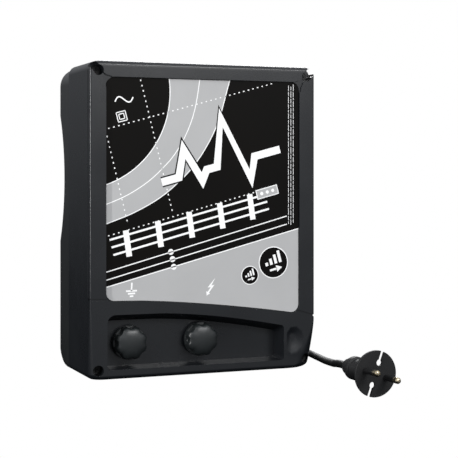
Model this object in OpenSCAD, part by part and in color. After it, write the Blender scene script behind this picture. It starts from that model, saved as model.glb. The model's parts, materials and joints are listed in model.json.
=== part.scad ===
// Mains fence energizer: a two-part moulded housing with a terminal tray, its
// electronics, two screw-down terminals and a mains cord with a contour plug.
// Millimetres. X runs to the right, the front faces -Y and Z is up.
// The origin is the middle of the housing's footprint, on the surface it stands on.

/* [Housing] */
// Width of the housing
case_w = 205; // [200:1:212]
// Height of the housing
case_h = 265; // [260:1:275]
// Depth from the front rim to the wall face
case_d = 100; // [98:1:106]
// Depth of the front cover alone, from the front rim to the seam
cover_d = 68; // [66:1:70]
// Wall thickness of both mouldings
wall = 3; // [2.5:0.1:3.5]
// Corner radius at the top of the front cover
cover_r = 8; // [6:1:10]
// Corner radius at the top of the rear shell
shell_r = 16; // [12:1:18]
// Corner radius at the foot of both mouldings
foot_r = 6; // [4:1:8]

/* [Terminal tray] */
// Depth of the tray below the front rim
tray_depth = 17; // [15:0.5:19]
// Height of the ledge under the tray
ledge_h = 8; // [7:0.5:9]
// Height of the tray's floor panel at its left end
tray_top_left = 53; // [52:0.5:54]
// Height of the tray's floor panel at its right end
tray_top_right = 38; // [37:0.5:40]

/* [Terminals] */
// Sideways distance between the two terminal screws
terminal_pitch = 64; // [60:1:66]
// Height of the terminal screws above the base
terminal_z = 28.7; // [28.5:0.1:29.5]
// Radius of the terminal screws
stud_r = 4; // [3.8:0.05:4]
// Radius of the knobs over their lobes
knob_r = 14.5; // [13:0.5:15]
// Length of the knobs along their screws
knob_len = 12; // [11:0.5:12.5]

/* [Mains cord] */
// Diameter of the cord's sheath
cord_d = 6.3; // [6.2:0.1:6.4]
// Diameter of the plug's face
plug_d = 36; // [35:0.5:36.5]
// Length of the plug's pins
pin_len = 19; // [18:0.5:19]

/* [Hidden] */
$fn = 48;
eps = 0.01;

front_y = -case_d / 2;
back_y = case_d / 2;
seam_y = front_y + cover_d;
half_w = case_w / 2;
tray_y = front_y + tray_depth;

earth_x = -half_w + 37.7;
fence_x = earth_x + terminal_pitch;

// An extrusion along Y of a flat shape drawn in X and Z.
module slab(y0, y1) translate([0, y1, 0]) rotate([90, 0, 0]) linear_extrude(y1 - y0) children();
// A round bar along Y.
module rod_y(x, z, y0, y1, r) translate([x, y1, z]) rotate([90, 0, 0]) cylinder(r = r, h = y1 - y0);
// A round bar along X.
module rod_x(y, z, x0, x1, r) translate([x0, y, z]) rotate([0, 90, 0]) cylinder(r = r, h = x1 - x0);
module block(lo, hi) translate(lo) cube([hi[0] - lo[0], hi[1] - lo[1], hi[2] - lo[2]]);

// Points of a quarter round about (x, z), starting at the angle a.
function quarter(x, z, r, a) = [for (i = [0:8]) [x + r * cos(a + i * 90 / 8), z + r * sin(a + i * 90 / 8)]];
// Outline of the housing from the front, drawn in by d, with the radius r at the top.
function case_outline(d, r) = concat(
    quarter(half_w - foot_r, foot_r, foot_r - d, -90),
    quarter(half_w - r, case_h - r, r - d, 0),
    quarter(-half_w + r, case_h - r, r - d, 90),
    quarter(-half_w + foot_r, foot_r, foot_r - d, 180));
// Side profile of the housing, drawn in by d, with its lower rear edge rounded.
heel_r = 20;
function side_profile(d) = concat(
    [[back_y - d, case_h], [front_y - 1, case_h], [front_y - 1, 0]],
    [for (i = [0:8]) [back_y - heel_r + (heel_r - d) * sin(i * 90 / 8),
        heel_r - (heel_r - d) * cos(i * 90 / 8)]]);
module side_slab(d) translate([-half_w - 1, 0, 0]) rotate([90, 0, 90])
    linear_extrude(case_w + 2) polygon(side_profile(d));

// Hollow that a hand grips at each side of the rear face.
grip_depth = 17;
grip_w = 22;
grip_z = 167;
grip_r = 116;
module grip_cutters(grow) for (side = [-1, 1])
    intersection() {
        rod_x(back_y + grip_r - grip_depth, grip_z, -half_w - 1, half_w + 1, grip_r + grow);
        translate([side * half_w, 0, grip_z])
            cube([2 * (grip_w + grow), case_d + 2, case_h], center = true);
    }

// Screw columns in the four corners: [x, z].
column_x = 95;
column_top_z = case_h - 8;
column_foot_z = 8;
columns = [for (side = [-1, 1], z = [column_foot_z, column_top_z]) [side * column_x, z]];
column_r = 6.5;
well_r = 4.5;
well_y = front_y + 12;
screw_r = 1.75;

// Tray opening: a level top edge that bends down towards the right.
tray_x0 = -half_w + 15;
tray_x1 = half_w - 29.5;
tray_bend_x = -45;
tray_bend = 1.6;
function tray_top(x) = tray_top_left - (tray_top_left - tray_top_right)
    * pow(max(0, x - tray_bend_x) / (tray_x1 - tray_bend_x), tray_bend);
function tray_outline(d) = concat(
    [[tray_x0 - d, ledge_h - min(d, wall)], [tray_x1 + d, ledge_h - min(d, wall)]],
    [for (i = [12:-1:0]) let (x = tray_x0 + (tray_x1 - tray_x0) * i / 12)
        [x + (i == 12 ? d : i == 0 ? -d : 0), tray_top(x) + d]]);

// Label: square at the top, its lower edge bends down beside the tray.
label_x0 = -half_w + 14.4;
label_x1 = half_w - 14.8;
label_top = case_h - 13.6;
label_corner = 7;
label_low_left = 65.3;
label_low_right = 48.5;
function label_foot(x) = label_low_left - (label_low_left - label_low_right)
    * pow(max(0, x - label_x0 - 13) / (label_x1 - label_x0 - 13), 1.5);
function label_outline(d) = concat(
    quarter(label_x1 - label_corner, label_top - label_corner, label_corner + d, 0),
    quarter(label_x0 + label_corner, label_top - label_corner, label_corner + d, 90),
    quarter(label_x0 + label_corner, label_low_left + label_corner, label_corner + d, 180),
    [for (i = [2:11]) let (x = label_x0 + (label_x1 - label_x0) * i / 12) [x, label_foot(x) - d]],
    quarter(label_x1 - label_corner, label_low_right + label_corner + 1, label_corner + d, -90));
label_pocket = 2.2;
label_t = 0.5;

stud_hole_r = stud_r + 0.05;
module terminal_places() for (x = [earth_x, fence_x]) translate([x, 0, 0]) children();

// Front cover: five walls with the tray, the label pocket and the screw columns.
front_round = 2;
module cover_outside() {
    slab(front_y + front_round, seam_y) polygon(case_outline(0, cover_r));
    slab(front_y + front_round / 3, seam_y) polygon(case_outline(front_round / 3, cover_r));
    slab(front_y, seam_y) polygon(case_outline(front_round, cover_r));
}
// Upright corners of the foot are rounded to toe_r in plan.
toe_r = 16;
toe_h = 40;
module toe_cutters() for (side = [-1, 1]) translate([side * half_w, front_y, -1])
    difference() {
        cube([2 * toe_r, 2 * toe_r, 2 * toe_h], center = true);
        translate([-side * toe_r, toe_r, -2 * toe_h]) cylinder(r = toe_r, h = 4 * toe_h);
    }
module front_cover() color([0.17, 0.18, 0.2]) difference() {
    union() {
        difference() {
            cover_outside();
            slab(front_y + label_pocket + wall, seam_y + 1) polygon(case_outline(wall, cover_r));
        }
        intersection() {
            cover_outside();
            union() {
                for (c = columns) rod_y(c[0], c[1], front_y, seam_y, column_r);
                slab(front_y, tray_y + wall) polygon(tray_outline(wall));
                for (side = [-1, 1]) block([side * half_w - toe_r, front_y, 0],
                    [side * half_w + toe_r, front_y + toe_r, toe_h]);
            }
        }
    }
    toe_cutters();
    difference() {
        slab(front_y - 1, tray_y) polygon(tray_outline(0));
        terminal_places() rod_y(0, terminal_z, tray_y - 1, tray_y + 1, 13.5);
    }
    slab(front_y - 1, front_y + label_pocket) polygon(label_outline(0.3));
    for (c = columns) {
        rod_y(c[0], c[1], front_y - 1, well_y, well_r);
        rod_y(c[0], c[1], well_y - 1, seam_y + 1, screw_r);
    }
    terminal_places() rod_y(0, terminal_z, tray_y - 2, tray_y + wall + 1, stud_hole_r);
}

// Rear shell: the wall side, with gripping hollows, keyholes and bosses.
board_y = 27.6;
board_t = 1.6;
board_x = 75;
board_z0 = 95;
board_z1 = 225;
board_holes = [for (x = [-1, 1] * (board_x - 6), z = [board_z0 + 6, board_z1 - 6]) [x, z]];
strap_holes = [[-50, 14], [22, 14]];
keyhole_pitch = 120;
keyhole_z = 236;
keyhole_r = 4.5;
keyhole_slot_r = 2.3;
gland_y = 37;
gland_z = 26;
gland_r = 6;
module keyholes() for (side = [-1, 1]) translate([side * keyhole_pitch / 2, 0, keyhole_z]) {
    rod_y(0, 0, back_y - wall - 1, back_y + 1, keyhole_r);
    rod_y(0, 9, back_y - wall - 1, back_y + 1, keyhole_slot_r);
    block([-keyhole_slot_r, back_y - wall - 1, 0], [keyhole_slot_r, back_y + 1, 9]);
}
module rear_shell() color([0.15, 0.155, 0.165]) difference() {
    intersection() {
        slab(seam_y, back_y) polygon(case_outline(0, shell_r));
        side_slab(0);
        union() {
            difference() {
                slab(seam_y, back_y) square([2 * case_w, 2 * case_h], center = true);
                difference() {
                    intersection() {
                        slab(seam_y - 1, back_y - wall) polygon(case_outline(wall, shell_r));
                        side_slab(wall);
                    }
                    grip_cutters(wall);
                }
            }
            for (c = columns) rod_y(c[0], c[1], seam_y, back_y - wall + eps, column_r);
            for (b = board_holes) rod_y(b[0], b[1], board_y, back_y - wall + eps, 4);
            for (b = strap_holes) rod_y(b[0], b[1], 24, back_y - wall + eps, 5);
        }
    }
    grip_cutters(0);
    keyholes();
    rod_x(gland_y, gland_z, half_w - wall - 1, half_w + 1, gland_r);
    for (c = columns) rod_y(c[0], c[1], seam_y - 1, seam_y + 12, screw_r - 0.3);
    for (b = board_holes) rod_y(b[0], b[1], board_y - 1, board_y + 9, 1.3);
    for (b = strap_holes) rod_y(b[0], b[1], 23, 34, 1.6);
}

// Rubber seal in four lengths, between the screw columns, bridging the seam inside.
module housing_seal() color([0.08, 0.08, 0.08]) difference() {
    slab(seam_y - 3, seam_y + 3) polygon(case_outline(wall, shell_r));
    slab(seam_y - 4, seam_y + 4) polygon(case_outline(wall + 1.5, shell_r));
    for (c = columns) rod_y(c[0], c[1], seam_y - 4, seam_y + 4, column_r + 0.2);
}

module face_label() color([0.1, 0.09, 0.08])
    slab(front_y + label_pocket - label_t, front_y + label_pocket) polygon(label_outline(0));

// Four long pan-head screws from the front, cross recess in the head.
module cover_screws() color("silver") for (c = columns) difference() {
    union() {
        rod_y(c[0], c[1], well_y - 2.6, well_y, 3.6);
        rod_y(c[0], c[1], well_y, seam_y + 11, screw_r - 0.3);
    }
    for (a = [0, 90]) translate([c[0], well_y - 2.6, c[1]]) rotate([0, a, 0])
        cube([4, 2.4, 0.9], center = true);
}

// One terminal, drawn at x = 0: a fixed screw with a nut and a lug inside, and
// outside a clamp washer that travels with the knob as the knob is unscrewed.
washer_y = tray_y - 1.3;
washer_t = 1.6;
knob_y = washer_y - washer_t - 0.3;
insert_len = 8;
insert_r = 6.5;
lobes = 8;
module stud() color("silver") rod_y(0, terminal_z, knob_y - insert_len + 0.7, tray_y + 13, stud_r);
module lock_nut() color("silver") difference() {
    translate([0, tray_y + wall + 7.5, terminal_z]) rotate([90, 30, 0]) cylinder(r = 7.5, h = 6.5, $fn = 6);
    rod_y(0, terminal_z, tray_y, tray_y + 20, stud_r);
}
module lug() color([0.78, 0.62, 0.3]) difference() {
    union() {
        rod_y(0, terminal_z, tray_y + wall, tray_y + wall + 1, 7);
        block([-3, tray_y + wall, terminal_z], [3, tray_y + wall + 1, terminal_z + 16]);
    }
    rod_y(0, terminal_z, tray_y, tray_y + 20, stud_r);
}
module clamp_washer() color("silver") difference() {
    rod_y(0, terminal_z, washer_y - washer_t, washer_y, 10);
    rod_y(0, terminal_z, washer_y - 5, washer_y + 5, stud_hole_r);
}
module knob_insert() color([0.78, 0.62, 0.3]) difference() {
    rod_y(0, terminal_z, knob_y - insert_len, knob_y, insert_r);
    rod_y(0, terminal_z, knob_y - insert_len - 1, knob_y + 1, stud_hole_r);
}
module knob() color([0.12, 0.14, 0.15]) translate([0, knob_y, terminal_z]) rotate([90, 0, 0])
    difference() {
        rotate_extrude() polygon([[0, 0], [knob_r, 0], [knob_r, knob_len - 4],
            [knob_r - 1.5, knob_len - 2], [knob_r * 0.7, knob_len - 0.6], [0, knob_len]]);
        for (i = [0:lobes - 1]) rotate([0, 0, i * 360 / lobes]) translate([knob_r + 2, 0, 2.5])
            cylinder(r = 4, h = knob_len);
        translate([0, 0, -1]) cylinder(r = insert_r, h = insert_len + 1);
    }

// Electronics on a board screwed to the rear shell's bosses, parts facing forward.
part_y = board_y - board_t;
module circuit_board() color([0.1, 0.35, 0.2]) difference() {
    block([-board_x, part_y, board_z0], [board_x, board_y, board_z1]);
    for (b = board_holes) rod_y(b[0], b[1], part_y - 1, board_y + 1, 1.6);
}
module board_screws() color("silver") for (b = board_holes) {
    rod_y(b[0], b[1], part_y - 2, part_y, 3);
    rod_y(b[0], b[1], part_y, board_y + 8, 1.3);
}
capacitors = [[-45, 190], [-8, 190]];
module storage_capacitors() color([0.2, 0.25, 0.35]) for (c = capacitors)
    rod_y(c[0], c[1], part_y - 42, part_y, 16);

// Pulse transformer: laminated core, bobbin on its centre leg, winding on the bobbin.
core_x = -14;
core_y0 = -2;
core_y1 = 22;
core_z0 = 10;
core_z1 = 60;
leg = 10;
module transformer_core() color([0.3, 0.3, 0.32]) difference() {
    block([core_x - 3 * leg, core_y0, core_z0], [core_x + 3 * leg, core_y1, core_z1]);
    for (side = [-1, 1]) translate([core_x + side * 1.5 * leg, 0, (core_z0 + core_z1) / 2])
        cube([leg, 2 * case_d, 3 * leg], center = true);
}
coil_wall = 1.5;
module around_leg(d, z0, z1) difference() {
    block([core_x - leg / 2 - d - 5, core_y0 - d, z0], [core_x + leg / 2 + d + 5, core_y1 + d, z1]);
    block([core_x - leg, core_y0, z0 - 1], [core_x + leg, core_y1, z1 + 1]);
}
window_z0 = core_z0 + leg;
window_z1 = core_z1 - leg;
module transformer_bobbin() color([0.1, 0.1, 0.1]) {
    around_leg(coil_wall, window_z0, window_z1);
    around_leg(leg - 0.4, window_z0, window_z0 + coil_wall);
    around_leg(leg - 0.4, window_z1 - coil_wall, window_z1);
}
module transformer_winding() color([0.72, 0.4, 0.18]) difference() {
    around_leg(leg - 1, window_z0 + coil_wall, window_z1 - coil_wall);
    block([core_x - leg - coil_wall, core_y0 - coil_wall, 0],
        [core_x + leg + coil_wall, core_y1 + coil_wall, case_h]);
}
// Bent strip over the core with a foot on each side, screwed to the shell's bosses.
strap_t = 1.5;
module transformer_strap() color("silver") {
    difference() {
        union() {
            block([core_x - 3 * leg - strap_t, 5, core_z0 - strap_t],
                [core_x + 3 * leg + strap_t, 15, core_z1 + strap_t]);
            block([strap_holes[0][0] - 5, 24 - strap_t, 9], [strap_holes[1][0] + 5, 24, 19]);
        }
        block([core_x - 3 * leg, -case_d, core_z0], [core_x + 3 * leg, core_y1, core_z1]);
        for (b = strap_holes) rod_y(b[0], b[1], 20, 30, 1.6);
    }
    for (side = [-1, 1]) translate([core_x + side * (3 * leg + strap_t / 2), 19.5, 14])
        cube([strap_t, 9, 10], center = true);
}
module strap_screws() color("silver") for (b = strap_holes) {
    rod_y(b[0], b[1], 24 - strap_t - 2, 24 - strap_t, 3);
    rod_y(b[0], b[1], 24 - strap_t, 33, 1.6);
}

sink_x = 45;
sink_z = 200;
module heat_sink() color([0.75, 0.76, 0.78]) {
    block([sink_x - 18, part_y - 26, sink_z], [sink_x + 18, part_y, sink_z + 2.5]);
    for (i = [0:6]) block([sink_x - 18 + i * 5.6, part_y - 26, sink_z + 2.5],
        [sink_x - 15.6 + i * 5.6, part_y, sink_z + 15]);
}
module thyristor() color([0.1, 0.1, 0.1]) {
    block([sink_x - 5, part_y - 22, sink_z - 4.5], [sink_x + 5, part_y - 6, sink_z]);
    for (x = [-2.5, 0, 2.5]) block([sink_x + x - 0.4, part_y - 6, sink_z - 2.6],
        [sink_x + x + 0.4, part_y, sink_z - 1.8]);
}
fuse_x = 48;
fuse_z = 122;
fuse_y = part_y - 6;
module fuse() color([0.85, 0.9, 0.9]) rod_x(fuse_y, fuse_z, fuse_x - 10, fuse_x + 10, 2.6);
module fuse_clips() color([0.78, 0.62, 0.3]) for (side = [-1, 1]) difference() {
    block([fuse_x + side * 8 - 2.5, part_y - 8, fuse_z - 3.4],
        [fuse_x + side * 8 + 2.5, part_y, fuse_z + 3.4]);
    rod_x(fuse_y, fuse_z, fuse_x - 12, fuse_x + 12, 2.6);
    block([fuse_x - 12, part_y - 9, fuse_z - 1.6], [fuse_x + 12, fuse_y, fuse_z + 1.6]);
}
// Row of axial parts: a body on X with a wire leg at each end.
module axial(x, z, r, len) {
    rod_x(part_y - r - 1, z, x - len / 2, x + len / 2, r);
    rod_x(part_y - r - 1, z, x - len / 2 - 3, x + len / 2 + 3, 0.4);
    for (side = [-1, 1]) rod_y(x + side * (len / 2 + 3), z, part_y - r - 1, part_y, 0.4);
}
module power_resistors() color([0.85, 0.8, 0.65]) for (i = [0:2]) axial(-45, 112 + i * 10, 3, 16);
module rectifier_diodes() color([0.12, 0.12, 0.12]) for (i = [0:3]) axial(-12, 108 + i * 9, 2, 8);
module control_chip() color([0.09, 0.09, 0.09]) {
    block([6, part_y - 4.5, 150], [16, part_y - 1, 160]);
    for (x = [5.4, 16], i = [0:3])
        block([x, part_y - 2.5, 151 + i * 2.54], [x + 0.6, part_y, 151.6 + i * 2.54]);
}
module filter_capacitor() color([0.12, 0.14, 0.3]) rod_y(22, 128, part_y - 18, part_y, 6);
module varistor() color([0.2, 0.3, 0.6]) rod_x(part_y - 8, 142, 42, 46, 7);
block_x = 40;
module terminal_block() color([0.2, 0.45, 0.25]) difference() {
    block([block_x - 8, part_y - 12, 100], [block_x + 8, part_y, 110]);
    for (side = [-1, 1]) translate([block_x + side * 4, part_y - 6, 99]) cylinder(r = 1.6, h = 7);
}

// A tube swept along the points p, one ring for each step of a smooth curve
// through them. The vector ref is never parallel to the tube.
function curve(a, b, c, d, t) = 0.5 * (2 * b + (c - a) * t
    + (2 * a - 5 * b + 4 * c - d) * t * t + (3 * b - a - 3 * c + d) * t * t * t);
function smooth(p, steps) = let (n = len(p)) concat(
    [for (i = [0:n - 2], k = [0:steps - 1]) curve(
        i == 0 ? 2 * p[0] - p[1] : p[i - 1], p[i], p[i + 1],
        i == n - 2 ? 2 * p[n - 1] - p[n - 2] : p[i + 2], k / steps)], [p[n - 1]]);
function unit(v) = v / norm(v);
module tube(p, r, steps, sides, ref) {
    q = smooth(p, steps);
    n = len(q);
    rings = [for (i = [0:n - 1])
        let (along = unit(q[min(i + 1, n - 1)] - q[max(i - 1, 0)]),
            u = unit(cross(along, ref)), v = cross(u, along))
        for (k = [0:sides - 1]) q[i] + r * (cos(k * 360 / sides) * u + sin(k * 360 / sides) * v)];
    walls = [for (i = [0:n - 2], k = [0:sides - 1]) let (m = (k + 1) % sides)
        [i * sides + k, i * sides + m, (i + 1) * sides + m, (i + 1) * sides + k]];
    polyhedron(rings, concat([[for (k = [sides - 1:-1:0]) k]], walls,
        [[for (k = [0:sides - 1]) (n - 1) * sides + k]]), convexity = 10);
}

// Inside wiring: the two output leads and the two mains cores.
lead_r = 1.3;
lug_y = tray_y + wall + 1 + lead_r;
earth_route = [[earth_x, lug_y, 44], [earth_x, lug_y, 54], [-64, -20, 64], [-60, -4, 72], [-58, 12, 84],
    [-58, 19, 94], [-59, 20, 104], [-60, 22, 111], [-60, part_y + 0.5, 114]];
fence_route = [[fence_x, lug_y, 44], [fence_x, lug_y, 54], [6, -22, 64], [14, -10, 72], [16, 6, 82],
    [14, 17, 92], [10, 19, 104], [8, 22, 111], [8, part_y + 0.5, 114]];
module earth_lead() color([0.2, 0.5, 0.2]) tube(earth_route, lead_r, 3, 8, [1, 0, 0]);
module fence_lead() color([0.6, 0.1, 0.1]) tube(fence_route, lead_r, 3, 8, [1, 0, 0]);
live_route = [[half_w, gland_y - 1.6, gland_z], [93, gland_y - 1.6, gland_z], [85, 33, 27],
    [76, 30, 30], [66, 25, 42], [58, 21, 58], [50, 20, 76], [45, 20, 90], [block_x + 4, 20, 102]];
neutral_route = [[half_w, gland_y + 1.6, gland_z], [93, gland_y + 1.6, gland_z], [84, 37.4, 28],
    [74, 35, 32], [61, 30, 45], [50, 25, 62], [41, 22, 78], [37, 20, 90], [block_x - 4, 20, 102]];
module live_lead() color([0.4, 0.22, 0.1]) tube(live_route, 1.1, 3, 8, [0, 1, 0]);
module neutral_lead() color([0.1, 0.2, 0.6]) tube(neutral_route, 1.1, 3, 8, [0, 1, 0]);

// Cord entry in the right-hand wall: gland, nut inside, tapered strain relief outside.
nut_t = 4;
collar_t = 2;
relief_len = 12;
relief_x = half_w + collar_t;
cord_r = cord_d / 2;
module cord_gland() color([0.1, 0.1, 0.1]) difference() {
    union() {
        rod_x(gland_y, gland_z, half_w - wall - nut_t - 2, half_w, gland_r);
        rod_x(gland_y, gland_z, half_w, relief_x, gland_r + 3);
    }
    rod_x(gland_y, gland_z, half_w - 20, relief_x + 1, cord_r);
}
module gland_nut() color([0.1, 0.1, 0.1]) difference() {
    translate([half_w - wall - nut_t, gland_y, gland_z]) rotate([0, 90, 0])
        cylinder(r = 9, h = nut_t, $fn = 6);
    rod_x(gland_y, gland_z, half_w - 20, half_w, gland_r);
}
module strain_relief() color([0.08, 0.08, 0.08])
    translate([relief_x, gland_y, gland_z]) rotate([0, 90, 0]) rotate_extrude()
        polygon([[cord_r, 0], [6, 0], [4.3, relief_len], [cord_r, relief_len]]);

// Free cord: from the relief down to the floor, into a coil behind the housing,
// and from the coil around the housing's right-hand side to the plug.
coil_c = [30, 112];
coil_in = 26;
coil_out = 46;
coil_h = 13;
cord_in_route = [[102.5, 37, 26], [109.5, 37, 26], [116.5, 37, 26], [126.2, 38.9, 25], [134.6, 44.2, 22.4],
    [140.3, 52.6, 18.6], [142.6, 62.6, 14.2], [143, 74, 9.8], [142.4, 86, 6.2], [140, 98.5, 4],
    [135, 111.5, 3.2], [126.8, 125.5, 3.2], [114.5, 138, 3.2], [98, 147, 3.2], [78, 153, 3.2],
    [54, 155.5, 3.2], [30, 154.8, 3.2]];
cord_out_route = [[30, 69.2, 9.6], [48, 67.6, 8.6], [66, 66, 5.6], [84, 64, 3.5], [100, 60, 3.2],
    [113, 52, 3.2], [122, 40, 3.2], [126.5, 26, 3.2], [126.5, 10, 3.2], [123.5, -8, 3.3],
    [119.5, -26, 4], [114.5, -44, 5], [109.5, -62, 6.4], [104, -80, 8.2], [97.5, -98, 10.4],
    [90, -115, 13], [83.8, -131, 15.6], [79.6, -146, 17.4], [77.93, -160.03, 18]];
module mains_cord_in() color([0.06, 0.06, 0.06]) tube(cord_in_route, cord_r, 2, 10, [0, 0, 1]);
module mains_cord_out() color([0.06, 0.06, 0.06]) tube(cord_out_route, cord_r, 2, 10, [0, 0, 1]);
module cord_coil() color([0.06, 0.06, 0.06]) translate([coil_c[0], coil_c[1], 0]) rotate_extrude($fn = 64)
    translate([coil_in, 0]) square([coil_out - coil_in, coil_h]);
tie_t = 1.5;
tie_w = 12;
module cord_tie() color([0.1, 0.1, 0.1]) difference() {
    block([coil_c[0] - coil_out - tie_t, coil_c[1] - tie_w / 2, 0],
        [coil_c[0] - coil_in + tie_t, coil_c[1] + tie_w / 2, coil_h + tie_t]);
    cord_coil();
}

// Contour plug, drawn with its face in the plane y = 0 and its pins towards -Y:
// a thin round face with two keyhole slots, a flat hub and a stepped boot.
plug_face = [79.5, -205, plug_d / 2];
plug_yaw = 2;
plug_roll = 20;
plug_r = plug_d / 2;
boot_len = 45;
pin_x = 9.5;
pin_r = 2.4;
pin_core_r = 1.9;
sleeve_len = 13;
slot_blob_z = 9;
slot_w = 2.9;
plate_t = 2.2;
module plug_frame() translate(plug_face) rotate([0, 0, plug_yaw]) rotate([0, plug_roll, 0]) children();
module plug_body() color([0.08, 0.08, 0.08]) plug_frame() difference() {
    union() {
        rod_y(0, 0, 0, plate_t, plug_r);
        block([-13, plate_t, -6.3], [13, 16, 6.3]);
        translate([0, boot_len, 0]) rotate([90, 0, 0]) rotate_extrude() polygon([[0, 0], [5, 0], [5, 3],
            [6.2, 3], [6.2, 7], [7.4, 7], [7.4, 11], [9.2, 11], [9.2, 16], [8, 16], [6.3, 29], [0, 29]]);
    }
    for (side = [-1, 1]) {
        rod_y(0, side * slot_blob_z, -1, plate_t + 1, 2.5);
        translate([0, 2, side * (slot_blob_z + plug_r) / 2 + side])
            cube([slot_w, 6, plug_r - slot_blob_z + 2], center = true);
        rod_y(side * pin_x, 0, -1, 8, pin_core_r);
    }
}
module plug_pins() color("silver") plug_frame() for (side = [-1, 1])
    translate([side * pin_x, 8, 0]) rotate([90, 0, 0]) rotate_extrude()
        polygon([[0, 0], [pin_core_r, 0], [pin_core_r, 8 + sleeve_len], [pin_r, 8 + sleeve_len],
            [pin_r, 6.4 + pin_len], [pin_r - 0.5, 7.5 + pin_len], [pin_r - 1.4, 8 + pin_len],
            [0, 8 + pin_len]]);
module plug_pin_sleeves() color([0.1, 0.1, 0.1]) plug_frame() for (side = [-1, 1]) difference() {
    rod_y(side * pin_x, 0, -sleeve_len, 0, pin_r);
    rod_y(side * pin_x, 0, -sleeve_len - 1, 1, pin_core_r);
}

// The two terminals, one module for each piece.
module earth_knob() translate([earth_x, 0, 0]) knob();
module earth_knob_insert() translate([earth_x, 0, 0]) knob_insert();
module earth_clamp_washer() translate([earth_x, 0, 0]) clamp_washer();
module earth_stud() translate([earth_x, 0, 0]) stud();
module earth_lock_nut() translate([earth_x, 0, 0]) lock_nut();
module earth_lug() translate([earth_x, 0, 0]) lug();
module fence_knob() translate([fence_x, 0, 0]) knob();
module fence_knob_insert() translate([fence_x, 0, 0]) knob_insert();
module fence_clamp_washer() translate([fence_x, 0, 0]) clamp_washer();
module fence_stud() translate([fence_x, 0, 0]) stud();
module fence_lock_nut() translate([fence_x, 0, 0]) lock_nut();
module fence_lug() translate([fence_x, 0, 0]) lug();

rear_shell();
front_cover();
housing_seal();
face_label();
cover_screws();
earth_knob();
earth_knob_insert();
earth_clamp_washer();
earth_stud();
earth_lock_nut();
earth_lug();
fence_knob();
fence_knob_insert();
fence_clamp_washer();
fence_stud();
fence_lock_nut();
fence_lug();
circuit_board();
board_screws();
storage_capacitors();
transformer_core();
transformer_bobbin();
transformer_winding();
transformer_strap();
strap_screws();
thyristor();
heat_sink();
fuse_clips();
fuse();
power_resistors();
rectifier_diodes();
control_chip();
filter_capacitor();
varistor();
terminal_block();
earth_lead();
fence_lead();
live_lead();
neutral_lead();
cord_gland();
gland_nut();
strain_relief();
mains_cord_in();
cord_coil();
cord_tie();
mains_cord_out();
plug_body();
plug_pins();
plug_pin_sleeves();
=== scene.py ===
"""Mains fence energizer: the looks of each piece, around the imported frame."""
import json
import math
import bpy
import bmesh
from mathutils import Matrix, Vector

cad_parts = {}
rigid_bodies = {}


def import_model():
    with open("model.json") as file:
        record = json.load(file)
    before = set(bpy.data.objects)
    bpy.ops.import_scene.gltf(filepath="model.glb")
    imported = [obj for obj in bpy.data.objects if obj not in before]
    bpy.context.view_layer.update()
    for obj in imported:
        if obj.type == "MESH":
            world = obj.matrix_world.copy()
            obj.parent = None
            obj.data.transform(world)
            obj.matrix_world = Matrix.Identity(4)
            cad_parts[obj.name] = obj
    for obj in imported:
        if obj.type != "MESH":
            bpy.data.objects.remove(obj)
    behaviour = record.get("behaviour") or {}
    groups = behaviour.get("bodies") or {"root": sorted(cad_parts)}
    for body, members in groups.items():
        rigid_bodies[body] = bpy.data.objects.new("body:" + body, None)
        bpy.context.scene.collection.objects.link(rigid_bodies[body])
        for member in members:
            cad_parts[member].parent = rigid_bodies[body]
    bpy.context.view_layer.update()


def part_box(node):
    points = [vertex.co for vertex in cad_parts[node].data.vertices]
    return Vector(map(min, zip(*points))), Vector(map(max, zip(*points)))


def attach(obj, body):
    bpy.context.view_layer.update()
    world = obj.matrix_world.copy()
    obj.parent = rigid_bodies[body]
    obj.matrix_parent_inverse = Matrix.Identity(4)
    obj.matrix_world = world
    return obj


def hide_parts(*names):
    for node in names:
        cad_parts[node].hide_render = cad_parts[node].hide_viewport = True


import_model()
HOUSING = "housing"
MM = 0.001

# --- The view ---------------------------------------------------------------------
# A level camera a little above the housing's middle, off to its left by 22 degrees.
# A long lens and a small downward shift keep the uprights parallel.
bpy.ops.object.camera_add(location=(-0.3851, -1.0553, 0.170),
                          rotation=(math.radians(90), 0, math.radians(-22)))
camera = bpy.context.object
camera.data.lens = 99.04
camera.data.sensor_width = 36
camera.data.shift_y = -0.1179
camera.data.clip_end = 30
bpy.context.scene.camera = camera

# --- Mains cord -------------------------------------------------------------------
# A round two-core cord, 6.3 mm over its PVC sheath and about 1.5 m long. It leaves the
# strain relief, drops to the floor, is wound into a coil behind the housing and
# then runs around the housing's right-hand side to the plug.
CORD_D = 6.3
COIL_CENTRE = (30, 112)
COIL_OUT = 42.8
cord_in_route = [
    (102.5, 37, 26), (109.5, 37, 26), (116.5, 37, 26), (126.2, 38.9, 25), (134.6, 44.2, 22.4),
    (140.3, 52.6, 18.6), (142.6, 62.6, 14.2), (143, 74, 9.8), (142.4, 86, 6.2), (140, 98.5, 4),
    (135, 111.5, 3.2), (126.8, 125.5, 3.2), (114.5, 138, 3.2), (98, 147, 3.2), (78, 153, 3.2),
    (54, 155.5, 3.2)]
cord_out_route = [
    (48, 67.6, 8.6), (66, 66, 5.6), (84, 64, 3.5), (100, 60, 3.2), (113, 52, 3.2), (122, 40, 3.2),
    (126.5, 26, 3.2), (126.5, 10, 3.2), (123.5, -8, 3.3), (119.5, -26, 4), (114.5, -44, 5),
    (109.5, -62, 6.4), (104, -80, 8.2), (97.5, -98, 10.4), (90, -115, 13), (83.8, -131, 15.6),
    (79.6, -146, 17.4), (77.93, -160.03, 18)]
COIL_TURNS = 4.5
TURN_POINTS = 16
LOWER_TURNS = 2.6
CLIMB_TURNS = 0.4
COIL_FOOT = CORD_D / 2 + 0.05
coil_route = []
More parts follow.
